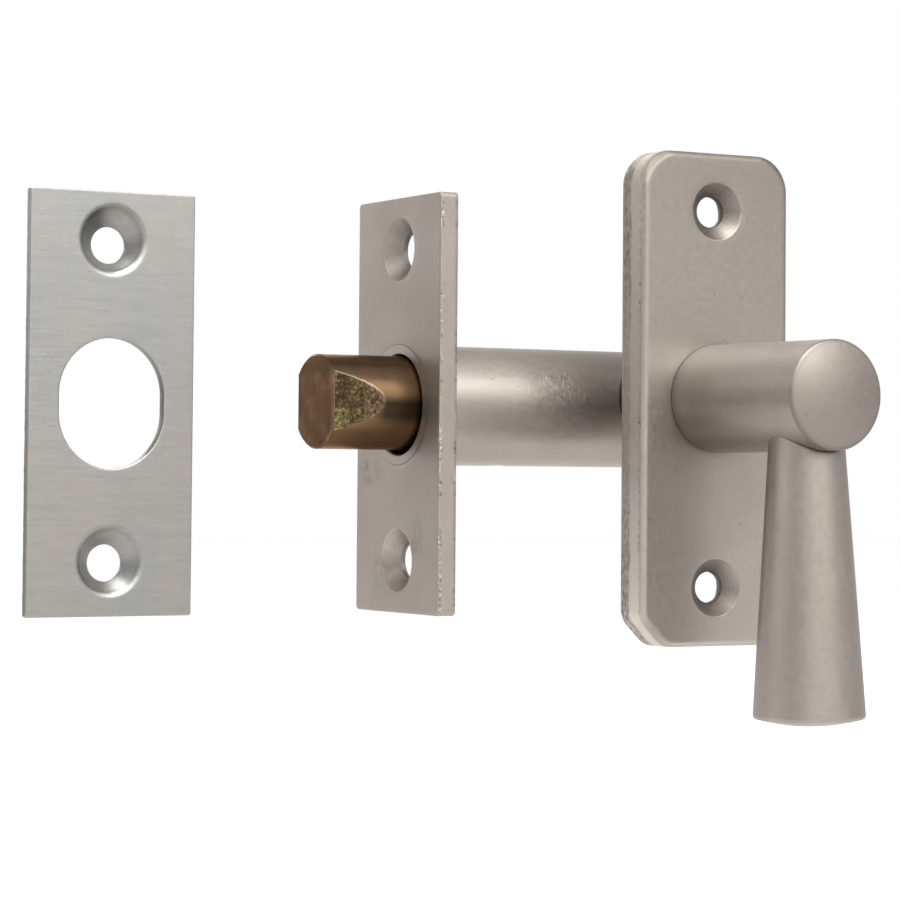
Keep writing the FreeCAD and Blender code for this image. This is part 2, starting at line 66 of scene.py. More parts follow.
to_camera, level_right = direction(camera_azimuth, camera_elevation)
level_up = np.cross(to_camera, level_right)
camera_right = np.cos(camera_roll) * level_right + np.sin(camera_roll) * level_up
camera_up = np.cos(camera_roll) * level_up - np.sin(camera_roll) * level_right
camera = bpy.data.objects.new("camera", bpy.data.cameras.new("camera"))
stand(camera, camera_place, camera_right, camera_up, to_camera)
camera.data.sensor_width = 36.0
camera.data.lens = camera.data.sensor_width * camera_focal_px / picture_px
camera.data.shift_x = (picture_px / 2 - camera_centre_px[0]) / picture_px
camera.data.shift_y = (camera_centre_px[1] - picture_px / 2) / picture_px
camera.data.clip_start, camera.data.clip_end = 0.01, 20.0
bpy.context.scene.camera = camera
bpy.context.scene.view_settings.view_transform = "Standard"


# Light and floor
# Plain soft studio light: seven large lamps round the set, a sheet of white paper under it and
# white behind it. Paper and background are lifted to white only for the rays that look at them,
# straight or in a gloss, so the paper keeps the object's shadow.
def add(tree, kind, inputs=None, **settings):
    """One shader node: settings are its properties, inputs its sockets, by value or from another node."""
    made = tree.nodes.new("ShaderNode" + kind)
    for name, value in settings.items():
        setattr(made, name, value)
    for name, value in (inputs or {}).items():
        if isinstance(value, bpy.types.NodeSocket):
            tree.links.new(value, made.inputs[name])
        else:
            made.inputs[name].default_value = value
    return made


def reckon(tree, operation, a, b=0.0):
    """One step of arithmetic on two numbers."""
    return add(tree, "Math", {0: a, 1: b}, operation=operation).outputs[0]


def times(tree, a, b):
    """a * b"""
    return reckon(tree, "MULTIPLY", a, b)


def plus(tree, a, b):
    """a + b"""
    return reckon(tree, "ADD", a, b)


def span(tree, value, low, high, to_low=0.0, to_high=1.0):
    """A value carried linearly from low..high to to_low..to_high, and held at the ends."""
    ends = {"From Min": low, "From Max": high, "To Min": to_low, "To Max": to_high}
    return add(tree, "MapRange", {"Value": value, **ends}).outputs[0]


def blend_colour(tree, share, a, b):
    """a + (b - a) * share, for two colours."""
    return add(tree, "Mix", {0: share, "A": a, "B": b}, data_type="RGBA").outputs["Result"]


def seen_rays(tree):
    """1 for the rays that look at a surface straight, in a gloss or through glass, otherwise 0."""
    rays = add(tree, "LightPath").outputs
    seen = reckon(tree, "MAXIMUM", rays["Is Camera Ray"], rays["Is Glossy Ray"])
    return reckon(tree, "MAXIMUM", seen, rays["Is Transmission Ray"])


lamp_distance = 0.60
lamps = {  # azimuth, elevation, width, height, watts
    "high": (12, 40, 0.32, 0.24, 3.0),
    "front": (-18, 31, 0.45, 0.24, 1.8),
    "key": (20, 18, 0.26, 0.22, 0.4),
    "left": (-105, 28, 0.40, 0.30, 1.35),
    "side": (-163, 10, 0.26, 0.16, 0.25),
    "back": (168, 30, 0.30, 0.22, 1.2),
    "top": (-30, 72, 0.40, 0.30, 5.4),
}
for name, (azimuth, elevation, width, height, watts) in lamps.items():
    data = bpy.data.lights.new(name + "_lamp", "AREA")
    data.shape = "RECTANGLE"
    data.size, data.size_y, data.energy = width, height, watts
    lamp = bpy.data.objects.new(name + "_lamp", data)
    outward, side = direction(*np.radians([azimuth, elevation]))
    stand(lamp, outward * lamp_distance, side, np.cross(outward, side), outward)
    lamp.visible_camera = False

world = bpy.data.worlds.new("studio")
world.use_nodes = True
tree = world.node_tree
tree.nodes.clear()
shade = blend_colour(tree, seen_rays(tree), (0.30, 0.30, 0.30, 1), (1, 1, 1, 1))
back_light = add(tree, "Background", {"Color": shade, "Strength": 1.0})
add(tree, "OutputWorld", {"Surface": back_light.outputs[0]})
bpy.context.scene.world = world

# The paper's lift is weaker close to the camera and under the object than far behind it.
floor_height, floor_reach = -78 * mm, 3.0
paper = bpy.data.materials.new("floor_paper")
paper.use_nodes = True
tree = paper.node_tree
tree.nodes.clear()
place = add(tree, "TexCoord").outputs["Object"]
reach = add(tree, "VectorMath", {0: place}, operation="LENGTH").outputs["Value"]
depth = add(tree, "SeparateXYZ", {"Vector": place}).outputs[1]
near_lift = span(tree, depth, -0.135, -0.06, 0.30, 0.74)
lift = span(tree, reach, 0.16, 0.42, near_lift, 0.80)
strength = times(tree, seen_rays(tree), lift)
glow = add(tree, "Emission", {"Color": (1, 1, 1, 1), "Strength": strength})
sheet = add(tree, "BsdfDiffuse", {"Color": (0.62, 0.62, 0.62, 1)})
both = add(tree, "AddShader", {0: sheet.outputs[0], 1: glow.outputs[0]})
add(tree, "OutputMaterial", {"Surface": both.outputs[0]})
ground = bpy.data.meshes.new("floor")
corner = floor_reach * np.array([[-1, -1, 0], [1, -1, 0], [1, 1, 0], [-1, 1, 0]])
ground.from_pydata((corner + [0, 0, floor_height]).tolist(), [], [(0, 1, 2, 3)])
ground.materials.append(paper)
floor = bpy.data.objects.new("floor", ground)
bpy.context.scene.collection.objects.link(floor)


# Barrel tube
# A drawn steel tube, turned to size and plated in satin nickel. Its front end is flush with the
# forend. Handling has left short scuffs on the side and a few dark specks in the plating.
nickel_light, nickel_dark = (0.252, 0.226, 0.201, 1), (0.230, 0.205, 0.181, 1)
# The tarnish colour darkens real grain and pits, and also serves as painted shade.
nickel_tarnish_and_shade, nickel_speck = (0.085, 0.074, 0.062, 1), (0.06, 0.052, 0.045, 1)
# The second of these, the light grey for the hub's top, is a painted highlight.
nickel_worn, nickel_highlight = (0.50, 0.475, 0.44, 1), (0.300, 0.288, 0.275, 1)
nickel_torn, nickel_sawn = (0.090, 0.088, 0.076, 1), (0.44, 0.40, 0.36, 1)
nickel_edge_tint = (0.85, 0.83, 0.81, 1)


def surface(name, metal=1.0):
    """A fresh material: its node tree, its principled shader and the object coordinates."""
    made = bpy.data.materials.new(name)
    made.use_nodes = True
    tree = made.node_tree
    tree.nodes.clear()
    shader = add(tree, "BsdfPrincipled", {"Metallic": metal})
    add(tree, "OutputMaterial", {"Surface": shader.outputs[0]})
    return made, tree, shader, add(tree, "TexCoord").outputs["Object"]


def dress(tree, shader, colour, gloss, bump):
    """Puts the worked out colour, roughness and bump on the shader."""
    tree.links.new(colour, shader.inputs["Base Color"])
    tree.links.new(gloss, shader.inputs["Roughness"])
    tree.links.new(bump.outputs[0], shader.inputs["Normal"])


def axes(tree, place):
    """The x, y and z of a place."""
    return add(tree, "SeparateXYZ", {"Vector": place}).outputs


def stretched(tree, place, scale):
    """Coordinates drawn out: the place times a scale for each axis."""
    return add(tree, "Mapping", {"Vector": place, "Scale": scale}).outputs[0]


def noise(tree, place, scale, detail=2.0, rough=0.5):
    """Soft noise between 0 and 1, with about scale waves to the metre."""
    settings = {"Vector": place, "Scale": scale, "Detail": detail, "Roughness": rough}
    return add(tree, "TexNoise", settings).outputs["Fac"]


def mark(tree, word):
    """A mesh's own mark: how far a point is worn, stained or given painted shade, or cut."""
    return add(tree, "Attribute", attribute_name=word).outputs["Fac"]


def toned(colour, share):
    """A colour times a share, each part at most 1."""
    return tuple(min(1.0, share * part) for part in colour[:3]) + (1,)


def specks(tree, place, scale, size, share):
    """Small round spots, one in some of the cells: near a cell's point, and only where the cell's
    random number lies in the top share."""
    cell = add(tree, "TexVoronoi", {"Vector": place, "Scale": scale})
    spot = span(tree, cell.outputs["Distance"], size, size * 0.55)
    chance = add(tree, "SeparateColor", {"Color": cell.outputs["Color"]}).outputs[0]
    return times(tree, spot, span(tree, chance, 1 - share, 1 - share + 0.01))


def zone(tree, place, centre, half, inner, share=1.0):
    """A soft egg-shaped zone: the length of (place - centre) / half, carried from 1..inner to 0..share."""
    away = add(tree, "VectorMath", {0: place, 1: centre}, operation="SUBTRACT").outputs[0]
    away = add(tree, "VectorMath", {0: away, 1: half}, operation="DIVIDE").outputs[0]
    length = add(tree, "VectorMath", {0: away}, operation="LENGTH").outputs["Value"]
    return span(tree, length, 1.0, inner, 0.0, share)


def scuffed(tree, place, centre, half, colour, height):
    """Short upright scratches, clumped in a zone: bright and raised where a drawn out noise is high,
    dark where it is low."""
    clumps = span(tree, noise(tree, place, 380, 2.0), 0.42, 0.56, 0.25, 1.0)
    near = times(tree, zone(tree, place, centre, half, 0.3), clumps)
    strokes = noise(tree, stretched(tree, place, (1, 0.30, 0.30)), 3300, 3.0, 0.65)
    bright = times(tree, near, span(tree, strokes, 0.54, 0.64))
    dark = times(tree, near, span(tree, strokes, 0.45, 0.34))
    colour = blend_colour(tree, times(tree, bright, 0.65), colour, nickel_worn)
    colour = blend_colour(tree, times(tree, dark, 0.40), colour, nickel_speck)
    return colour, plus(tree, height, bright)


def satin_nickel(name, lines, line_depth, tone=1.0, edge=1.0, painted_top_shade=None, shade_zone=None, smudges=(),
                 scuffs=None, sides=None, end=None):
    """Satin nickel plate: warm grey in soft clouds, with a fine grain drawn out along the polishing
    lines and dark specks. tone scales its colour, and the parts' different tones are partly painted
    light and shade; edge sets the tint of its slanting reflections. Three marks shape it: wear rubs
    edges bright in broken spots, tarnish darkens real stains and paints shade into recesses and onto
    some edges, and cut roughens the cut sides. fade is painted shade that grows up the height (from
    z, to z, share), dulled is one zone of painted shade and smudges are cloudy dark zones (each
    centre, half size, share), and scuffs a scratched zone (centre, half size). sides and end are a
    piece's own steps for its cut sides and its round end."""
    made, tree, shader, place = surface(name)
    wear, stain_and_shade, cut = (mark(tree, word) for word in ("wear", "stain_and_shade", "cut"))
    clouds = noise(tree, place, 90, 3.0)
    grain = noise(tree, place, 1400, 2.0)
    crumbs = noise(tree, place, 3600, 2.0, 0.6)
    # The tone differs from part to part, partly as the plating's own tone and partly as painted light and
    # shade.
    dark, light = toned(nickel_dark, tone), toned(nickel_light, tone)
    colour = blend_colour(tree, span(tree, clouds, 0.35, 0.65), dark, light)
    colour = blend_colour(tree, span(tree, grain, 0.35, 0.75, 0.0, 0.10), colour, nickel_tarnish_and_shade)
    dots = specks(tree, place, 400, 0.060, 0.60)
    colour = blend_colour(tree, times(tree, dots, 0.75), colour, nickel_speck)
    # The tarnish mark darkens real stains on some edges and paints shade into holes, bores and slots and onto
    # some edges.
    dim = times(tree, stain_and_shade, span(tree, grain, 0.30, 0.60, 0.80, 1.0))
    colour = blend_colour(tree, dim, colour, nickel_tarnish_and_shade)
    pits = times(tree, cut, span(tree, crumbs, 0.60, 0.72, 0.0, 0.25))
    colour = blend_colour(tree, pits, colour, nickel_tarnish_and_shade)
    drawn = noise(tree, stretched(tree, place, lines), 60, 2.0, 0.6)
    height = plus(tree, times(tree, drawn, line_depth), times(tree, crumbs, 0.12))
    gloss = span(tree, plus(tree, grain, clouds), 0.7, 1.3, 0.49, 0.39)
    gloss = plus(tree, gloss, times(tree, cut, 0.10))
    gloss = plus(tree, gloss, times(tree, stain_and_shade, 0.22))
    if sides:
        colour, height = sides(tree, place, cut, colour, height)
    flecks = noise(tree, place, 2700, 3.0, 0.6)
    bare = times(tree, wear, span(tree, flecks, 0.55, 0.62, 0.0, 0.8))
    colour = blend_colour(tree, bare, colour, nickel_worn)
    nicked = times(tree, wear, span(tree, flecks, 0.43, 0.36, 0.0, 0.8))
    colour = blend_colour(tree, nicked, colour, nickel_speck)
    # Painted shade, growing up the height.
    if painted_top_shade:
        low, high, share = painted_top_shade
        top_shade = span(tree, axes(tree, place)[2], low, high, 0.0, share)
        colour = blend_colour(tree, top_shade, colour, nickel_tarnish_and_shade)
    # One zone of painted shade.
    if shade_zone:
        centre, half, share = shade_zone
        colour = blend_colour(tree, zone(tree, place, centre, half, 0.2, share), colour, nickel_tarnish_and_shade)
    for centre, half, share in smudges:
        cloudy = span(tree, noise(tree, place, 520, 3.0, 0.6), 0.42, 0.62, 0.0, share)
        cloudy = times(tree, cloudy, zone(tree, place, centre, half, 0.3))
        colour = blend_colour(tree, cloudy, colour, nickel_torn)
    if scuffs:
        centre, half = scuffs
        colour, height = scuffed(tree, place, centre, half, colour, height)
    bump = add(tree, "Bump", {"Height": height, "Strength": 0.28, "Distance": 0.02 * mm})
    if end:
        colour, gloss = end(tree, place, colour, gloss, bump)
    dress(tree, shader, colour, gloss, bump)
    shader.inputs["Specular Tint"].default_value = toned(nickel_edge_tint, edge)
    return made


def finish_node(name, material):
    """Gives a built part its material."""
    nodes[name].material_slots[0].material = material


# Painted shade on the tube next to the handle plate, and the scuffed zone between it and the forend.
tube_shade = ((34 * mm, -6 * mm, 6.0 * mm), (26 * mm, 9 * mm, 3.2 * mm), 0.62)
tube_scuffs = ((19.6 * mm, -8.3 * mm, 2.7 * mm), (6.8 * mm, 4 * mm, 3.3 * mm))
finish_node("barrel_tube", satin_nickel("barrel_nickel", (30, 1, 1), 0.5, 1.03, shade_zone=tube_shade,
                                        scuffs=tube_scuffs))


# End plug, its pin and the guide pin
# Bright drawn steel. The plug closes the back of the tube and is held by a cross pin, and the
# guide pin is pressed into the tube's underside.
def plain_steel(name, light, dark, rough, metal=1.0):
    """An uncoated surface: two close greys in clouds, a fine grain in the bump and the roughness."""
    made, tree, shader, place = surface(name, metal)
    clouds = noise(tree, place, 300, 3.0)
    grain = noise(tree, place, 2500, 2.0)
    colour = blend_colour(tree, span(tree, clouds, 0.35, 0.65), dark, light)
    gloss = span(tree, grain, 0.3, 0.7, rough - 0.06, rough + 0.06)
    bump = add(tree, "Bump", {"Height": grain, "Strength": 0.3, "Distance": 0.02 * mm})
    dress(tree, shader, colour, gloss, bump)
    return made


bright_steel = plain_steel("bright_steel", (0.42, 0.41, 0.39, 1), (0.34, 0.33, 0.31, 1), 0.30)
for name in ("end_plug", "end_plug_pin", "guide_pin"):
    finish_node(name, bright_steel)


# Bearings and pinion
# Zinc castings with a slightly grainy skin. The bearings are pressed into the tube's side holes,
# and the pinion turns in them.
cast_zinc = plain_steel("cast_zinc", (0.085, 0.083, 0.080, 1), (0.055, 0.054, 0.052, 1), 0.48)
for name in ("near_bearing", "far_bearing", "drive_pinion"):
    finish_node(name, cast_zinc)


# Spindle, friction ball and spring
# A drawn square bar that carries the lever's turn to the pinion, and a hardened ball with its small
# spring, held in the tube, which keep the bolt where it is put.
for name in ("spindle", "friction_ball", "friction_spring"):
    finish_node(name, bright_steel)


# Bolt
# A round steel bolt, yellow passivated to a brown bronze. Two slanted flats are left rough and
# golden, and their rims are rubbed bright. A flat goes 1.6 mm in over its 7.8 mm.
bolt_radius, bolt_rise, bolt_tip = 6.775 * mm, 0.25 * mm, -16.2303 * mm
bolt_flat, bolt_slope = 0.765 * bolt_radius, 1.6 / 7.8
brown_dark, brown_light = (0.068, 0.042, 0.025, 1), (0.096, 0.060, 0.035, 1)
brown_golden, brown_deep = (0.150, 0.100, 0.054, 1), (0.048, 0.033, 0.022, 1)
brown_red, brown_olive = (0.130, 0.066, 0.048, 1), (0.085, 0.064, 0.040, 1)
# The lower-half brown is partly painted light, the band brown painted shade and the stripe brown a painted
# shadow.
brown_under, brown_painted_shade = (0.135, 0.077, 0.039, 1), (0.040, 0.028, 0.018, 1)
brown_painted_shadow, rim_bright = (0.018, 0.012, 0.008, 1), (0.26, 0.195, 0.150, 1)
flat_dark, flat_olive = (0.038, 0.026, 0.012, 1), (0.082, 0.060, 0.026, 1)
flat_pit, flat_copper = (0.016, 0.010, 0.006, 1), (0.20, 0.13, 0.095, 1)
flat_gold, flat_straw = (0.24, 0.205, 0.085, 1), (0.29, 0.215, 0.120, 1)
flat_moss, flat_green = (0.040, 0.032, 0.009, 1), (0.25, 0.22, 0.085, 1)


def flats_and_rims(tree, place, from_tip, lift, behind):
    """Where the bolt's flats are, and their bright rims. A flat is where |y| reaches the plane
    flat + slope * from_tip. Its rim is where the plane comes near the bolt's radius, made ragged by
    noise and weaker below the middle, and the brink is the line where the flat starts."""
    side = reckon(tree, "ABSOLUTE", axes(tree, place)[1])
    plane = plus(tree, times(tree, from_tip, bolt_slope), bolt_flat)
    reach = reckon(tree, "SQRT", plus(tree, times(tree, plane, plane), times(tree, lift, lift)))
    inset = reckon(tree, "SUBTRACT", bolt_radius, reach)
    on_plane = span(tree, reckon(tree, "SUBTRACT", side, plane), -0.06 * mm, -0.04 * mm)
    flat = times(tree, on_plane, span(tree, inset, 0.0, 0.015 * mm))
    flat = times(tree, flat, span(tree, from_tip, 0.48 * mm, 0.54 * mm))
    ragged = times(tree, reckon(tree, "SUBTRACT", noise(tree, place, 1900, 3.0), 0.5), 0.22 * mm)
    worn_inset = reckon(tree, "ABSOLUTE", plus(tree, inset, ragged))
    rim = span(tree, worn_inset, 0.09 * mm, 0.02 * mm)
    rim = times(tree, rim, span(tree, side, bolt_flat - 0.2 * mm, bolt_flat))
    rim = times(tree, rim, span(tree, lift, 0.0, 2.2 * mm, 0.16, 1.0))
    rim = times(tree, rim, behind)
    off_brink = reckon(tree, "ABSOLUTE", reckon(tree, "SUBTRACT", from_tip, 0.46 * mm))
    brink = times(tree, span(tree, off_brink, 0.08 * mm, 0.03 * mm, 0.0, 0.32), on_plane)
    return flat, reckon(tree, "MAXIMUM", rim, brink)


def bolt_brown(tree, place, from_tip, lift, behind, stains):
    """The passivated round: brown in clouds, with golden and dark tints in bands round the bolt, partly
    passivation colour and partly painted reflection, red and olive stains, a lighter, redder lower
    half, partly painted light, a band of painted shade near the top and a painted shadow in a stripe
    behind the flat."""
    clouds = noise(tree, place, 160, 3.0)
    # Bands of tint along the bolt: partly passivation colour, partly painted reflection.
    tints = noise(tree, stretched(tree, place, (0.2, 1, 1)), 330, 3.0, 0.6)
    brown = blend_colour(tree, span(tree, clouds, 0.35, 0.65), brown_dark, brown_light)
    brown = blend_colour(tree, span(tree, tints, 0.52, 0.68, 0.0, 0.6), brown, brown_golden)
    brown = blend_colour(tree, span(tree, tints, 0.46, 0.32, 0.0, 0.6), brown, brown_deep)
    brown = blend_colour(tree, span(tree, stains, 0.52, 0.66, 0.0, 0.5), brown, brown_red)
    brown = blend_colour(tree, span(tree, stains, 0.46, 0.34, 0.0, 0.5), brown, brown_olive)
    # A lighter, redder lower half, partly painted light.
    under = span(tree, lift, 3.2 * mm, 1.2 * mm, 0.0, 0.62)
    brown = blend_colour(tree, times(tree, under, behind), brown, brown_under)
    # A band of painted shade near the top.
    high = times(tree, span(tree, lift, 3.4 * mm, 4.3 * mm), span(tree, lift, 6.2 * mm, 5.4 * mm))
    brown = blend_colour(tree, times(tree, high, 0.40), brown, brown_painted_shade)
    # A painted shadow in a stripe behind the flat.
    painted_shadow = times(tree, span(tree, lift, 0.9 * mm, -0.3 * mm), span(tree, lift, -3.5 * mm, -2.1 * mm))
    painted_shadow = times(tree, painted_shadow, span(tree, from_tip, 6.0 * mm, 8.0 * mm, 0.0, 0.85))
    return blend_colour(tree, painted_shadow, brown, brown_painted_shadow)


def flat_colour(tree, place, from_tip, lift, grain, stains):
    """The rough flats: olive with dark pits, struck gold and straw where the grain is high, green
    towards the bottom and coppery towards the flat's far end."""
    patches = noise(tree, place, 480, 3.0, 0.6)
    olive = blend_colour(tree, span(tree, patches, 0.38, 0.62), flat_dark, flat_olive)
    gold = blend_colour(tree, span(tree, grain, 0.40, 0.50, 0.80, 0.0), olive, flat_pit)
    fleck = blend_colour(tree, span(tree, stains, 0.42, 0.56), flat_gold, flat_straw)
    struck = times(tree, span(tree, grain, 0.55, 0.66), span(tree, patches, 0.36, 0.60, 0.45, 1.0))
    gold = blend_colour(tree, struck, gold, fleck)
    green = blend_colour(tree, span(tree, grain, 0.38, 0.64), flat_moss, flat_green)
    low = times(tree, span(tree, lift, -0.8 * mm, -4.0 * mm), span(tree, patches, 0.40, 0.58, 0.2, 0.9))
    gold = blend_colour(tree, low, gold, green)
    far = times(tree, span(tree, from_tip, 3.6 * mm, 6.8 * mm, 0.0, 0.5), span(tree, grain, 0.45, 0.60))
    gold = blend_colour(tree, far, gold, flat_copper)
    return blend_colour(tree, 0.26, gold, flat_pit)


def passivated(name):
    """Brown passivated steel with rough golden flats. The bump is coarse on the flats alone."""
    made, tree, shader, place = surface(name)
    from_tip = reckon(tree, "SUBTRACT", axes(tree, place)[0], bolt_tip)
    lift = reckon(tree, "SUBTRACT", axes(tree, place)[2], bolt_rise)
    behind = span(tree, from_tip, 0.4 * mm, 0.6 * mm)
    grain = noise(tree, place, 2100, 5.0, 0.75)
    stains = noise(tree, stretched(tree, place, (1, 1, 0.4)), 210, 3.0, 0.6)
    flat, rim = flats_and_rims(tree, place, from_tip, lift, behind)
    brown = bolt_brown(tree, place, from_tip, lift, behind, stains)
    gold = flat_colour(tree, place, from_tip, lift, grain, stains)
    colour = blend_colour(tree, flat, brown, gold)
    colour = blend_colour(tree, times(tree, rim, 0.70), colour, rim_bright)
    gloss = span(tree, flat, 0, 1, 0.34, 0.50)
    coarse = times(tree, grain, plus(tree, times(tree, flat, 1.8), 0.10))
    bump = add(tree, "Bump", {"Height": coarse, "Strength": 0.6, "Distance": 0.05 * mm})
    dress(tree, shader, colour, gloss, bump)
    shader.inputs["Specular Tint"].default_value = (0.60, 0.53, 0.50, 1)
    return made


finish_node("lock_bolt", passivated("bolt_passivated"))


# Forend
# A flat steel bar, punched, countersunk for two screws, bored for the barrel and plated with it.
# Handling has nicked its front edges and smudged its lower half, and a fine joint shows round the
# end of the tube.
forend_size, forend_thick, forend_corner = (25 * mm, 60 * mm), 2.8 * mm, 0.75 * mm
forend_front, forend_screws, barrel_radius = -2.8 * mm, 22.5 * mm, 8.7 * mm


def loop(width, height, corner, step, centre=(0.0, 0.0), arc=10):
    """A rounded rectangle, or with corner = half the width a circle or a long hole: its points and
    outward normals, anticlockwise. Corner k is centre + corner * (cos, sin) of the angles from 90k
    to 90k + 90 degrees, and the straight sides between the corners are cut in equal steps."""
    across, up = width / 2 - corner, height / 2 - corner
    points, normals = [], []
    ends = [(across, up), (-across, up), (-across, -up), (across, -up)]
    for k, (x, y) in enumerate(ends):
        angle = np.radians(90 * k) + np.linspace(0, np.pi / 2, arc + 1)
        way = np.column_stack([np.cos(angle), np.sin(angle)])
        points.append([x, y] + corner * way)
        normals.append(way)
        start, end = points[-1][-1], np.array(ends[(k + 1) % 4]) + corner * way[-1]
        count = int(round(np.hypot(*(end - start)) / step))
        share = np.arange(1, max(count, 1))[:, None] / max(count, 1)
        points.append(start + (end - start) * share)
        normals.append(np.repeat(way[-1:], len(share), 0))
    points, normals = np.concatenate(points), np.concatenate(normals)
    fresh = np.hypot(*(points - np.roll(points, 1, 0)).T) > 1e-7
    return points[fresh] + centre, normals[fresh]


def round_loop(radius, centre=(0, 0), arc=24):
    """A circle, with arc steps to each quarter."""
    return loop(2 * radius, 2 * radius, radius, mm, centre, arc)


def band(around, profile, rough=None):
    """Rings carried round a loop: ring k is the loop moved along its normals by profile[k][0], at
    depth profile[k][1]. rough adds to that move, one number for each point of each ring."""
    points, normals = around
    out = np.asarray(profile, float)
    move = out[:, :1] + (0 if rough is None else rough)
    flat = points[None] + normals[None] * np.broadcast_to(move, (len(out), len(points)))[..., None]
    depth = np.broadcast_to(out[:, 1:2], flat.shape[:2])
    return np.concatenate([flat, depth[..., None]], 2)


def ring_faces(rows, columns, start):
    """The quads of a grid closed round its columns: from k * columns + i, with i + 1 wrapped."""
    k, i = np.meshgrid(np.arange(rows - 1), np.arange(columns), indexing="ij")
    j = (i + 1) % columns
    low, high = k * columns, (k + 1) * columns
    return start + np.stack([low + i, low + j, high + j, high + i], -1).reshape(-1, 4)


def inside(points, ring):
    """Which points lie inside a closed ring: an odd count of its edges crosses the ray along +x."""
    x, y = points[:, :1], points[:, 1:2]
    x0, y0 = ring.T
    x1, y1 = np.roll(ring, -1, 0).T
    spans = (y0 > y) != (y1 > y)
    with np.errstate(divide="ignore", invalid="ignore"):
        cross = x0 + (y - y0) * (x1 - x0) / (y1 - y0)
    return (np.sum(spans & (x < cross), 1) % 2) == 1


def closed_mesh(name, points, faces, marked, material, body, replaced):
    """Puts points and faces into a smooth closed mesh whose faces point outwards, with its marks of
    wear, of stains and painted shade, and of cut, and hangs it on its body in the place of the built part."""
    mesh = bpy.data.meshes.new(name)
    mesh.from_pydata(points.tolist(), [], faces)
    mesh.update()
    work = bmesh.new()
    work.from_mesh(mesh)
    bmesh.ops.recalc_face_normals(work, faces=work.faces)
    work.to_mesh(mesh)
    work.free()
    mesh.shade_smooth()
    for word, column in zip(("wear", "stain_and_shade", "cut"), marked.T.astype(np.float32)):
        values = mesh.attributes.new(word, "FLOAT", "POINT").data
        values.foreach_set("value", np.ascontiguousarray(column))
    mesh.materials.append(material)
    made = bpy.data.objects.new(name, mesh)
    bpy.context.scene.collection.objects.link(made)
    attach(made, body)
    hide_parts(replaced)


def flat_cap(rings):
    """The flat side of a plate, from its outline's ring and its holes' rings: corners and triangles.
    The rings are joined by triangles, and those whose middle lies in a hole are dropped."""
    starts = np.cumsum([0] + [len(ring) for ring in rings])
    edges = []
    for start, ring in zip(starts, rings):
        i = np.arange(len(ring))
        edges += (start + np.column_stack([i, (i + 1) % len(ring)])).tolist()
    made = delaunay_2d_cdt(np.concatenate(rings)[:, :2].tolist(), edges, [], 1, 1e-9)
    corners, triangles = np.array(made[0]), np.array(made[2])
    middle = corners[triangles].mean(1)
    keep = inside(middle, rings[0][:, :2])
    for ring in rings[1:]:
        keep &= ~inside(middle, ring[:, :2])
    return np.column_stack([corners, np.full(len(corners), rings[0][0, 2])]), triangles[keep]


def plate_mesh(name, bands, marks, origin, order, material, replaced):
    """One closed plate from the band round its edge and the bands down its holes: the quads between
    their rings, and a flat cap on their first rings and on their last. Equal points are joined.
    marks gives each band its wear, its stains and painted shade, and its cut, by number or by
    point, and order says which of (u, v, depth) runs along x, y and z from the origin."""
    points, marked, faces = [], [], []
    for one, mark_set in zip(bands, marks):
        start = sum(len(p) for p in points)
        faces += ring_faces(one.shape[0], one.shape[1], start).tolist()
        points.append(one.reshape(-1, 3))
        spread = [np.broadcast_to(value, one.shape[:2]) for value in mark_set]
        marked.append(np.stack(spread, -1).reshape(-1, 3))
    for end in (0, -1):
        corners, triangles = flat_cap([one[end] for one in bands])
        faces += (triangles + sum(len(p) for p in points)).tolist()
        points.append(corners)
        marked.append(np.zeros((len(corners), 3)))
    every, marked = np.concatenate(points), np.concatenate(marked)
    keys = np.round(every / 1e-6).astype(np.int64)
    first, number = np.unique(keys, axis=0, return_index=True, return_inverse=True)[1:]
    number = number.reshape(-1)
    faces = [tuple(dict.fromkeys(number[face].tolist())) for face in faces]
    faces = [face for face in faces if len(face) > 2]
    placed = every[first][:, list(order)] + np.array(origin)
    closed_mesh(name, placed, faces, marked[first], material, "root", replaced)


def nicks(count, rings, seed, depth, share=0.15):
    """Dents along an edge: noise smoothed over a few points, of which only the strongest share
    bites in."""
    raw = np.random.default_rng(seed).normal(size=(rings, count))
    raw = (raw + np.roll(raw, 1, 1) + np.roll(raw, -1, 1)) / 1.8
    limit = np.quantile(raw, 1 - share)
    return -depth * np.clip(raw - limit, 0, 1.5)


def clumped(count, seed, bare, ramp, least):
    """Wear that comes in clumps along an edge: noise averaged over seven points, of which the lowest
    share, bare, gives least, and which rises from there to 1 over ramp."""
    raw = np.random.default_rng(seed).random(count)
    raw = sum(np.roll(raw, k) for k in range(-3, 4)) / 7
    return np.clip((raw - np.quantile(raw, bare)) / ramp, least, 1)


def along(depth, stops, values):
    """Values at a depth or distance, linear between stops in millimetres and held at the ends."""
    return np.interp(depth, np.array(stops) * mm, values)


def edge_round(radius, steps=4):
    """The quarter round of an outer edge: moves radius * (sin a - 1), depths radius * (1 - cos a)."""
    a = np.linspace(0, np.pi / 2, steps + 1)
    return [*zip(radius * (np.sin(a) - 1), radius * (1 - np.cos(a)))]


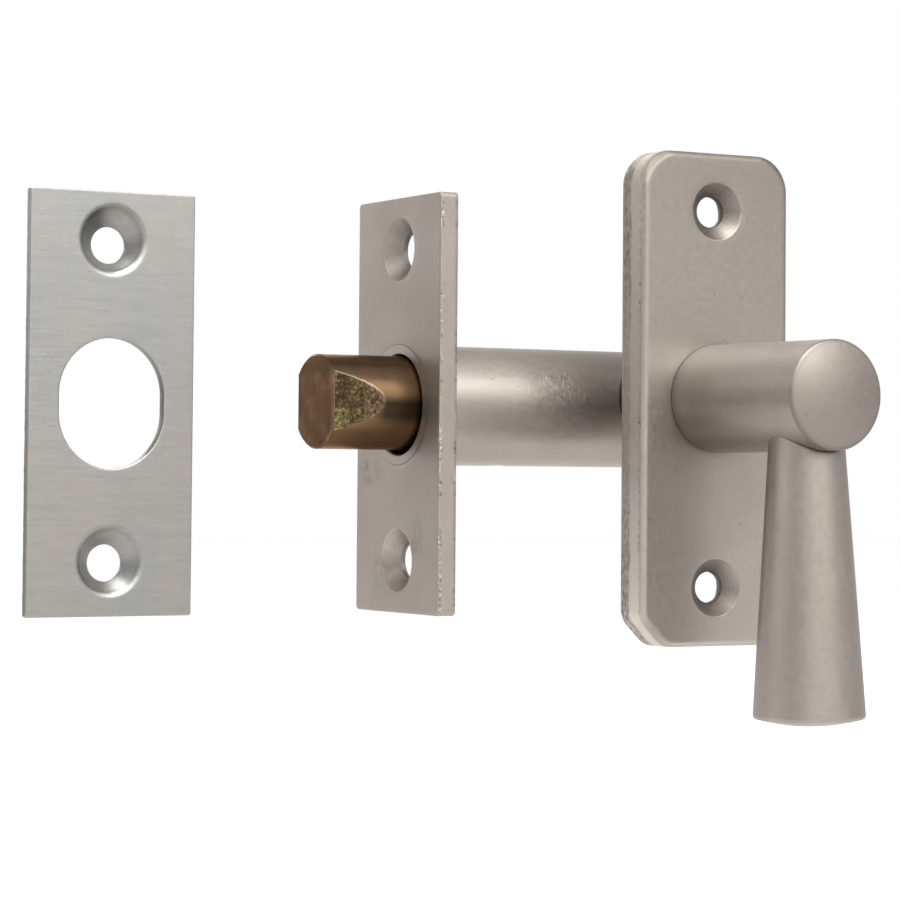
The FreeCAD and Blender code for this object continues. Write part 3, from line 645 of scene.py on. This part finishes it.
def sink_profile(hole, sink, thick, turns=0.0, wall_end=None, relief=0.0):
    """A countersunk hole from front to back, measured out from the hole's own wall: a softened lip,
    a 90 degree cone with faint turning steps and the plain wall, which ends in a small break at the
    back or, with wall_end, in a wider relief."""
    lip, wide = 0.06 * mm, (sink - hole) / 2
    front = [(wide + 1.2 * mm, 0), (wide + 2.0 * lip, 0), (wide + 0.8 * lip, 0.12 * lip),
             (wide, 0.45 * lip), (wide - 0.8 * lip, 1.1 * lip)]
    shares = np.linspace(0.04, 1.0, 16)[1:]
    slope = [(wide * (1 - t) + turns * (k % 2), wide * t + 0.5 * lip) for k, t in enumerate(shares)]
    back = [(0, thick - 0.08 * mm), (0.06 * mm, thick), (0.9 * mm, thick)]
    if wall_end:
        back = [(0, wall_end - 0.05 * mm), (0.05 * mm, wall_end), (relief, wall_end + 0.02 * mm),
                (relief, thick - 0.1 * mm), (relief + 0.1 * mm, thick), (relief + 0.9 * mm, thick)]
    return np.array(front + slope + back)


def sink_painted_shade(profile, around, cone_dim, wall_dim):
    """Painted shade in a countersunk hole: darkest on its wall, on its cone more towards the wall and
    in turned rings, and on both more on the upper side."""
    out, depth = profile.T
    turned = 0.28 * cone_dim * (np.arange(len(out)) % 3 == 0)
    cone = cone_dim * (1.35 - 0.5 * np.clip(out / mm, 0, 1.8)) + turned
    ring = np.where(out <= 0.05 * mm, wall_dim, cone) * (depth > 0.03 * mm)
    ring[-1] = 0
    return ring[:, None] * (0.80 + 0.20 * around[1][:, 1][None])


def screw_seats(radius, height):
    """The walls of a lower and an upper screw hole, at the same height below and above the middle."""
    return [round_loop(radius, (0, side * height)) for side in (-1, 1)]


outline = loop(*forend_size, forend_corner, 0.4 * mm)
count = len(outline[0])
sides = [(0, t * mm) for t in (0.35, 0.6, 1.0, 1.4, 1.8, 2.2)]
back = [(0, forend_thick - 0.10 * mm), (-0.03 * mm, forend_thick - 0.03 * mm),
        (-0.10 * mm, forend_thick), (-0.6 * mm, forend_thick)]
profile = np.array([(-0.6 * mm, 0)] + edge_round(0.14 * mm) + sides + back)
rough = np.zeros((len(profile), count))
# Nicks in the front round, slightly uneven sides, and nicks where the sides meet the back
rough[1:7] = nicks(count, 6, 11, 0.10 * mm, 0.08)
rough[7:12] = nicks(count, 5, 12, 0.015 * mm, 0.4)
rough[12:15] = nicks(count, 3, 13, 0.09 * mm, 0.05)
edge = band(outline, profile, rough)
depth = profile[:, 1:2]
before_back = depth < forend_thick - 0.001 * mm
wear = clumped(count, 14, 0.35, 0.04, 0.1)
wear = wear * along(depth, (0, 0.05, 0.45, 0.6, 2.4, 2.6), (0, 1, 1, 0, 0, 0.4))
wear[-1] = 0
stained = np.random.default_rng(15).random(count) + 0.08 * (np.abs(outline[0][:, 1]) > 28 * mm)
stained = np.clip((stained - 0.90) / 0.05, 0, 1) * 0.8
stained = stained * along(depth, (0.03, 0.15, 0.4, 0.55, 2.3, 2.6), (0, 1, 1, 0, 0, 1)) * before_back
cut = along(depth, (0.1, 0.3), (0, 1)) * before_back
bore = band(round_loop(barrel_radius, arc=32), [
    (0.9 * mm, 0), (0.12 * mm, 0), (0.05 * mm, 0.02 * mm), (0.01 * mm, 0.09 * mm), (0.004 * mm, 0.25 * mm),
    (0.004 * mm, forend_thick - 0.1 * mm), (0.06 * mm, forend_thick), (0.9 * mm, forend_thick)])
sink = sink_profile(4.8 * mm, 9.2 * mm, forend_thick)
seats = screw_seats(2.4 * mm, forend_screws)
sink_marks = [(0, sink_painted_shade(sink, seat, 0.35, 0.6), 0) for seat in seats]
smudges = [((forend_front, 8.2 * mm, -9.6 * mm), (3 * mm, 4.2 * mm, 2.4 * mm), 0.75),
           ((forend_front, -5.8 * mm, -19.6 * mm), (3 * mm, 3.0 * mm, 4.2 * mm), 0.42),
           ((forend_front, 4.5 * mm, -24.0 * mm), (3 * mm, 6.0 * mm, 5.0 * mm), 0.30)]
# The forend's colour fades to painted shade towards its top.
forend_nickel = satin_nickel("forend_nickel", (1, 30, 2), 0.4, 1.04, painted_top_shade=(-30 * mm, 26 * mm, 0.20),
                             smudges=smudges)
plate_mesh("forend_bar", [edge, bore] + [band(seat, sink) for seat in seats],
           [(wear, stained, cut), (0, 0, 0)] + sink_marks,
           (forend_front, 0, 0), (2, 0, 1), forend_nickel, "forend")


# Handle plate
# A thick plate cut from bar, its front edge rounded over and its sides left as sheared: smooth by
# the front, torn and dark by the back. Two countersunk screws hold it on the door's face.
plate_size, plate_thick, plate_corner = (25 * mm, 70.8 * mm), 5.8 * mm, 5 * mm
plate_front, plate_screws, spindle_x, spindle_z = -25.8 * mm, 27 * mm, 35.2 * mm, 1.1 * mm
plate_tear_y = plate_front + 3.4 * mm


def sheared_sides(tree, place, cut, colour, height):
    """Cut sides paler than the front, and torn dark and pitted from the tear line back. The line is
    y plus soft noise, and the tear is weaker round the middle of the height."""
    colour = blend_colour(tree, times(tree, cut, 0.8), colour, nickel_sawn)
    y, z = axes(tree, place)[1:3]
    depth = plus(tree, y, times(tree, noise(tree, place, 260, 2.0), 1.2 * mm))
    torn = times(tree, cut, span(tree, depth, plate_tear_y + 0.35 * mm, plate_tear_y + 0.80 * mm))
    torn = times(tree, torn, span(tree, reckon(tree, "ABSOLUTE", z), 8 * mm, 22 * mm, 0.45, 1.0))
    mottle = noise(tree, stretched(tree, place, (1, 1, 0.6)), 1500, 3.0, 0.6)
    torn = times(tree, torn, span(tree, mottle, 0.34, 0.64, 0.90, 0.30))
    return blend_colour(tree, torn, colour, nickel_torn), reckon(tree, "SUBTRACT", height, torn)


outline = loop(*plate_size, plate_corner, 0.3 * mm, arc=28)
count = len(outline[0])
across, up = outline[1].T
sides = [(0, t * mm) for t in (1.05, 1.2, 1.35, 1.6, 2.2, 2.9, 3.5, 4.0, 4.5, 5.0, 5.5)]
profile = np.array([(-2.4 * mm, 0), (-1.4 * mm, 0)] + edge_round(0.9 * mm, 8) + sides
                   + [(-0.15 * mm, plate_thick), (-1.2 * mm, plate_thick)])
rough = np.zeros((len(profile), count))
pillow = 2 * np.abs(across * up)  # 1 in the middle of each corner's arc, 0 on the straight sides
pillow_rings = np.array([1, 1, 1, 0.9, 0.75, 0.6, 0.45, 0.3, 0.18, 0.08])[:, None]
rough[:10] = -0.4 * mm * pillow * pillow_rings
# Nicks where the front round meets the sides, and ragged rings where the sides are torn
rough[9:14] += nicks(count, 5, 21, 0.06 * mm, 0.25)
rough[18:22] = np.random.default_rng(22).normal(size=(4, count)) * 0.012 * mm
# The lower left corner is nearly a straight cut: distance / cos(angle from 225 degrees), softened
# over eleven points, takes the place of the corner's radius.
corner_cut = 4.2 * mm
from_cut = np.clip(np.arctan2(up, across) + np.radians(135), -1, 1)
cut_in = np.minimum(corner_cut / np.cos(from_cut) - plate_corner, 0)
rough += sum(np.roll(cut_in, k) for k in range(-5, 6)) / 11
edge = band(outline, profile, rough)
depth = profile[:, 1:2]
rings = np.arange(len(profile))[:, None]
wear = clumped(count, 24, 0.20, 0.08, 0.5) * np.interp(outline[0][:, 1], [-30 * mm, 10 * mm], [0.55, 1])
wear = wear * along(depth, (0.75, 0.9, 1.2, 1.35), (0, 1, 1, 0))
# Painted shade on the front round: on the corners' pillowed rounds and on the rounds that face up.
dim = (0.35 * pillow + 0.55 * np.clip(up, 0, 1)) * along(depth, (0.01, 0.1, 1.0, 1.5), (0, 1, 1, 0))
cut = along(depth, (0.6, 1.0), (0, 1)) * (rings < len(profile) - 1)
bore = band(round_loop(6.35 * mm), [
    (2.2 * mm, 0), (1.34 * mm, 0), (1.27 * mm, 0), (1.22 * mm, -0.02 * mm), (1.15 * mm, -0.10 * mm),
    (0.10 * mm, -0.10 * mm), (0, 0.02 * mm), (0, 2.85 * mm), (0.05 * mm, 2.9 * mm), (1.8 * mm, 2.9 * mm),
    (1.85 * mm, 2.95 * mm), (1.85 * mm, plate_thick - 0.1 * mm), (1.95 * mm, plate_thick),
    (2.9 * mm, plate_thick)])
# Painted shade on the step under the hub's edge and down the bore.
bore_painted_shade = np.array([0, 0.2] + [0.9] * 11 + [0])[:, None]
sink = sink_profile(4.45 * mm, 8.3 * mm, plate_thick, 0.024 * mm, 2.85 * mm, 1.8 * mm)
seats = screw_seats(2.225 * mm, plate_screws)
sink_marks = [(0, sink_painted_shade(sink, seat, 0.60, 0.9), 0) for seat in seats]
# The plate's colour fades to painted shade towards its top.
plate_nickel = satin_nickel("plate_nickel", (2, 1, 30), 0.4, 1.20, painted_top_shade=(-32 * mm, 34 * mm, 0.44),
                            sides=sheared_sides)
plate_mesh("handle_plate_bar", [edge, bore] + [band(seat, sink) for seat in seats],
           [(wear, dim, cut), (0, bore_painted_shade, 0)] + sink_marks,
           (spindle_x, plate_front, spindle_z), (0, 2, 1), plate_nickel, "handle_plate")


# Bush, washers and retaining ring
# A natural nylon bush and plain steel washers sit in the recess behind the plate, and a ring in
# the hub's groove holds them.
nylon = plain_steel("natural_nylon", (0.62, 0.59, 0.51, 1), (0.56, 0.53, 0.45, 1), 0.45, 0.0)
finish_node("spindle_bush", nylon)
for name in ("thrust_washer", "wave_washer", "retaining_ring"):
    finish_node(name, bright_steel)


# Lever hub
# Turned from round bar with a low domed end, then plated. The dome's centre is a ball's radius
# behind its peak, and the ball passes through the hub's outer edge.
hub_end, hub_radius, hub_dome = -54.45 * mm, 7.6 * mm, 1.2 * mm
hub_ball = (hub_radius ** 2 + hub_dome ** 2) / (2 * hub_dome)
hub_dome_centre = (spindle_x, hub_end - hub_dome + hub_ball, spindle_z)
# Painted shade on the left of the hub's side, a little below its middle.
hub_shade = ((28.4 * mm, -36 * mm, -2.5 * mm), (4 * mm, 20 * mm, 2.2 * mm), 0.42)


def domed_end(tree, place, colour, gloss, bump):
    """The dome's middle takes its normal straight from the ball's centre. The dome gets painted shade,
    more towards its foot and its rim, and the hub's side a lighter, cooler grey along the top as a painted
    highlight."""
    y, z = axes(tree, place)[1:3]
    end = span(tree, y, hub_end + 0.45 * mm, hub_end + 0.25 * mm)
    # A painted highlight along the top of the hub's side.
    top_highlight = span(tree, z, 4.2 * mm, 6.2 * mm, 0.0, 0.9)
    top_highlight = times(tree, top_highlight, reckon(tree, "SUBTRACT", 1.0, end))
    colour = blend_colour(tree, top_highlight, colour, nickel_highlight)
    flat = add(tree, "VectorMath", {0: place, 1: (1, 0, 1)}, operation="MULTIPLY").outputs[0]
    axis = (spindle_x, 0, spindle_z)
    off = add(tree, "VectorMath", {0: flat, 1: axis}, operation="DISTANCE").outputs["Value"]
    # Painted shade on the dome, more towards its foot and its rim.
    dome_shade = span(tree, z, 6 * mm, -6 * mm, 0.26, 0.50)
    dome_shade = plus(tree, dome_shade, span(tree, off, 6.9 * mm, 7.5 * mm, 0.0, 0.32))
    colour = blend_colour(tree, times(tree, end, dome_shade), colour, nickel_tarnish_and_shade)
    away = add(tree, "VectorMath", {0: place, 1: hub_dome_centre}, operation="SUBTRACT").outputs[0]
    away = add(tree, "VectorTransform", {0: away}, vector_type="VECTOR", convert_from="OBJECT",
               convert_to="WORLD").outputs[0]
    straight = add(tree, "VectorMath", {0: away}, operation="NORMALIZE").outputs[0]
    usual = add(tree, "NewGeometry").outputs["Normal"]
    middle = times(tree, end, span(tree, off, 6.5 * mm, 6.0 * mm))
    mixed = add(tree, "Mix", {0: middle, "A": usual, "B": straight}, data_type="VECTOR").outputs["Result"]
    tree.links.new(mixed, bump.inputs["Normal"])
    return colour, plus(tree, gloss, times(tree, end, 0.05))


finish_node("lever_hub", satin_nickel("hub_nickel", (1, 30, 1), 0.3, 1.06, edge=1.18, shade_zone=hub_shade,
                                      end=domed_end))


# Lever grip, its stud and the grub screw
# A turned taper with a low domed end. Its top is cut to the hub's round and drawn up by a stud, and
# a black grub screw holds the hub on its spindle.
grip_place, grip_hang = np.array([35.2, -47.55, 1.1]) * mm, np.radians(0.9)
grip_neck, grip_end, grip_length = 4.8 * mm, 7.75 * mm, 44 * mm
grip_dome, grip_rim, saddle_radius = 1.1 * mm, 0.4 * mm, 7.64 * mm
# Painted shade down the grip's front left side.
grip_shade = ((30.0 * mm, -51.8 * mm, -22 * mm), (3.2 * mm, 3.2 * mm, 60 * mm), 0.27)


def grip_surface(around=96):
    """A round grip on a downward axis, row by row as radius r and distance s. r = neck + (end - neck)
    * s / length, for s from the saddle sqrt(hub^2 - (r cos a)^2) down to the rim, then the rim's
    quarter round and the dome's arc. The saddle closes inwards to its middle by the same rule."""
    angle = np.arange(around) * 2 * np.pi / around
    taper = (grip_end - grip_neck) / grip_length
    neck, edge = grip_neck + taper * 6.5 * mm, grip_end - grip_rim
    ball = (grip_end ** 2 + grip_dome ** 2) / (2 * grip_dome)

    def saddle(r):
        return np.sqrt(saddle_radius ** 2 - (r * np.cos(angle)) ** 2)

    def dome(r):
        return np.full(around, grip_length + grip_dome - ball + np.sqrt(ball ** 2 - r ** 2))

    def ring(r):
        return np.full(around, r)

    rows = [(ring(t * neck), saddle(t * neck)) for t in (0.004, 0.3, 0.6, 0.85, 0.95)]
    rows.append((ring(neck - 0.06 * mm), saddle(neck) + 0.01 * mm))
    rows.append((ring(neck - 0.01 * mm), saddle(neck) + 0.07 * mm))
    high, low = saddle(neck) + 0.12 * mm, grip_length - grip_rim
    for t in np.concatenate([[0.002, 0.01], np.linspace(0.03, 0.985, 40), [0.995, 1.0]]):
        s = high + (low - high) * t
        rows.append((grip_neck + taper * s, s))
    for a in np.linspace(0.2, 1.0, 6) * np.pi / 2:
        rows.append((ring(edge + grip_rim * np.cos(a) * (1 - taper)), low + (dome(edge) - low) * np.sin(a)))
    for t in (0.97, 0.9, 0.8, 0.65, 0.5, 0.35, 0.2, 0.08, 0.004):
        rows.append((ring(edge * t), dome(edge * t)))
    r, s = np.array(rows).transpose(1, 0, 2)
    flat = np.stack([r * np.cos(angle), r * np.sin(angle), -s], -1)
    across, down = np.cos(grip_hang), np.sin(grip_hang)
    swing = np.array([[across, 0, -down], [0, 1, 0], [down, 0, across]])
    return flat @ swing.T + grip_place


grid = grip_surface()
rows, columns = grid.shape[:2]
last = (rows - 1) * columns
faces = ring_faces(rows, columns, 0).tolist()
faces += [list(range(columns)), list(range(last, last + columns))]
grip_nickel = satin_nickel("grip_nickel", (1, 1, 30), 0.3, 0.96, shade_zone=grip_shade)
closed_mesh("grip_bar", grid.reshape(-1, 3), faces, np.zeros((rows * columns, 3)), grip_nickel,
            "lever", "lever_grip")
finish_node("grip_stud", bright_steel)
black_steel = plain_steel("black_steel", (0.05, 0.05, 0.05, 1), (0.03, 0.03, 0.03, 1), 0.42)
finish_node("grub_screw", black_steel)


# Strike plate
# Sheet steel brushed across its width, blanked with a rolled-over edge, its slot punched and its
# two screw seats pressed in, a little above their holes. It fits on the door frame by itself.
strike_size = (25 * mm, 60 * mm)
strike_place, strike_screws = np.array([-43.0, 10.3, -0.4]) * mm, 22.5 * mm
strike_green, strike_red = (0.207, 0.211, 0.200, 1), (0.231, 0.217, 0.203, 1)
strike_grey, strike_dark = (0.178, 0.176, 0.168, 1), (0.07, 0.066, 0.060, 1)
strike_dash, strike_worn = (0.31, 0.305, 0.29, 1), (0.50, 0.49, 0.47, 1)


def brushed_sheet(name):
    """Brushed sheet: upright clouds of a greener and a redder grey, long thin strokes the short way
    in colour, bump and roughness, short bright and dark dashes, a few dark scratches, and painted
    shade towards the bottom, on its cut edges, down its slot and in its seats."""
    made, tree, shader, place = surface(name)
    strokes = noise(tree, stretched(tree, place, (0.02, 1, 1)), 5200, 3.0, 0.7)
    long_strokes = noise(tree, stretched(tree, place, (0.12, 1, 1)), 1900, 3.0, 0.6)
    dashes = noise(tree, stretched(tree, place, (0.20, 1, 1)), 3400, 1.0)
    dents = noise(tree, stretched(tree, place, (0.20, 1, 1.1)), 3300, 1.0)
    columns = noise(tree, stretched(tree, place, (1, 1, 0.25)), 150, 2.0)
    scratch = noise(tree, stretched(tree, place, (0.35, 1, 1.0)), 700, 4.0, 0.8)
    colour = blend_colour(tree, span(tree, columns, 0.35, 0.65), strike_green, strike_red)
    colour = blend_colour(tree, span(tree, long_strokes, 0.40, 0.62, 0.0, 0.28), colour, strike_grey)
    colour = blend_colour(tree, span(tree, dashes, 0.67, 0.77, 0.0, 0.55), colour, strike_dash)
    colour = blend_colour(tree, span(tree, dents, 0.33, 0.25, 0.0, 0.26), colour, strike_dark)
    colour = blend_colour(tree, span(tree, scratch, 0.735, 0.765, 0.0, 0.5), colour, strike_dark)
    # Painted shade towards the bottom.
    low_shade = span(tree, axes(tree, place)[2], 0, -30 * mm, 0.0, 0.08)
    colour = blend_colour(tree, low_shade, colour, strike_dark)
    # Painted shade from the mesh's mark: on the cut edges, down the slot's wall and in the seats.
    colour = blend_colour(tree, mark(tree, "stain_and_shade"), colour, strike_dark)
    colour = blend_colour(tree, span(tree, mark(tree, "wear"), 0.5, 0.9), colour, strike_worn)
    gloss = span(tree, strokes, 0.3, 0.7, 0.34, 0.46)
    height = plus(tree, strokes, times(tree, long_strokes, 0.5))
    bump = add(tree, "Bump", {"Height": height, "Strength": 0.30, "Distance": 0.02 * mm})
    dress(tree, shader, colour, gloss, bump)
    return made


outline = loop(*strike_size, 0.35 * mm, 0.5 * mm, arc=6)
count = len(outline[0])
profile = np.array([
    (-0.30, 0), (-0.10, 0), (-0.04, 0.01), (-0.01, 0.04), (0, 0.10), (0, 0.6), (0, 1.0),
    (-0.01, 1.35), (-0.02, 1.45), (-0.06, 1.5), (-0.34, 1.5)]) * mm
rough = np.zeros((len(profile), count))
# Nicks in the rolled front edge, and an uneven edge at the back
rough[2:5] = nicks(count, 3, 31, 0.03 * mm, 0.04)
rough[6:9] = np.random.default_rng(32).normal(size=(3, count)) * 0.012 * mm
edge = band(outline, profile, rough)
out, depth = profile[:, :1], profile[:, 1:2]
struck = np.random.default_rng(33).random((1, count)) > 0.9
wear = along(depth, (0.01, 0.05, 0.2, 0.3), (0, 0.5, 0.5, 0)) * struck
# Painted shade on the sheet's cut edges.
dim = along(depth, (0.06, 0.22), (0, 0.85)) * (out > -0.3 * mm)
lip = np.array([
    (0.9, 0), (0.30, 0), (0.16, 0.006), (0.07, 0.025), (0.02, 0.06), (0, 0.12), (0, 0.8), (0, 1.4),
    (0.02, 1.5), (0.9, 1.5)]) * mm
slot = band(loop(15.9 * mm, 18.5 * mm, 7.95 * mm, 0.4 * mm, arc=28), lip)
# Painted shade down the slot's wall.
slot_shade = along(lip[:, 1:2], (0.03, 0.12), (0, 0.9)) * (lip[:, :1] < 0.8 * mm)

# A seat from the flat front down its rolled ring and its cone to the hole, and back up outside.
seat_rings = np.array([
    (3.5, 0), (2.95, 0), (2.80, 0.002), (2.65, 0.009), (2.50, 0.036), (2.35, 0.082), (2.20, 0.149),
    (2.05, 0.240), (1.92, 0.355), (1.90, 0.371), (1.87, 0.401), (1.45, 0.797), (1.40, 0.850),
    (1.36, 0.883), (1.28, 0.955), (0.6, 1.60), (0.1, 2.05), (0.02, 2.13), (0, 2.20), (0, 2.60),
    (0.05, 2.65), (0.55, 2.65), (0.62, 2.62), (1.2, 2.10), (1.9, 1.62), (2.2, 1.53), (2.6, 1.5),
    (3.2, 1.5)]) * mm
seats = screw_seats(2.6 * mm, strike_screws)
from_hole = along(seat_rings[:, :1], (0, 1.9), (0, 1))[:, None]
pressed = np.array([(0.0, 0.35, 0.0), (-0.08, 0.65, 0.0)]) * mm  # how far off their holes
screws = [band(seat, seat_rings) + from_hole * shift for seat, shift in zip(seats, pressed)]
out, depth = seat_rings[:, :1], seat_rings[:, 1:2]
up = seats[0][1][:, 1]
# Painted shade in the seats: darker down towards the holes and on their upper side.
seat_shade = along(depth, (0.05, 0.15, 0.35, 0.5, 2.1, 2.3), (0, 0.15, 0.3, 0.35, 0.35, 0.8)) * (0.6 + 0.4 * up)
ring_dim = along(out, (1.85, 2.0, 2.5, 2.7), (0, 1, 1, 0)) * (depth < mm)
# More painted shade: the rolled ring is darker above the hole, and so is the sharp turn from ring to cone all
# round.
seat_shade += 0.45 * ring_dim * np.clip(up, 0, 1)
seat_shade[8:11] += 0.20
seat_shade[-2:] = 0
plate_mesh("strike_sheet", [edge, slot] + screws,
           [(wear, dim, 0), (0, slot_shade, 0), (0, seat_shade * 0.6, 0), (0, seat_shade, 0)],
           strike_place, (0, 2, 1), brushed_sheet("strike_brushed"), "strike_plate")
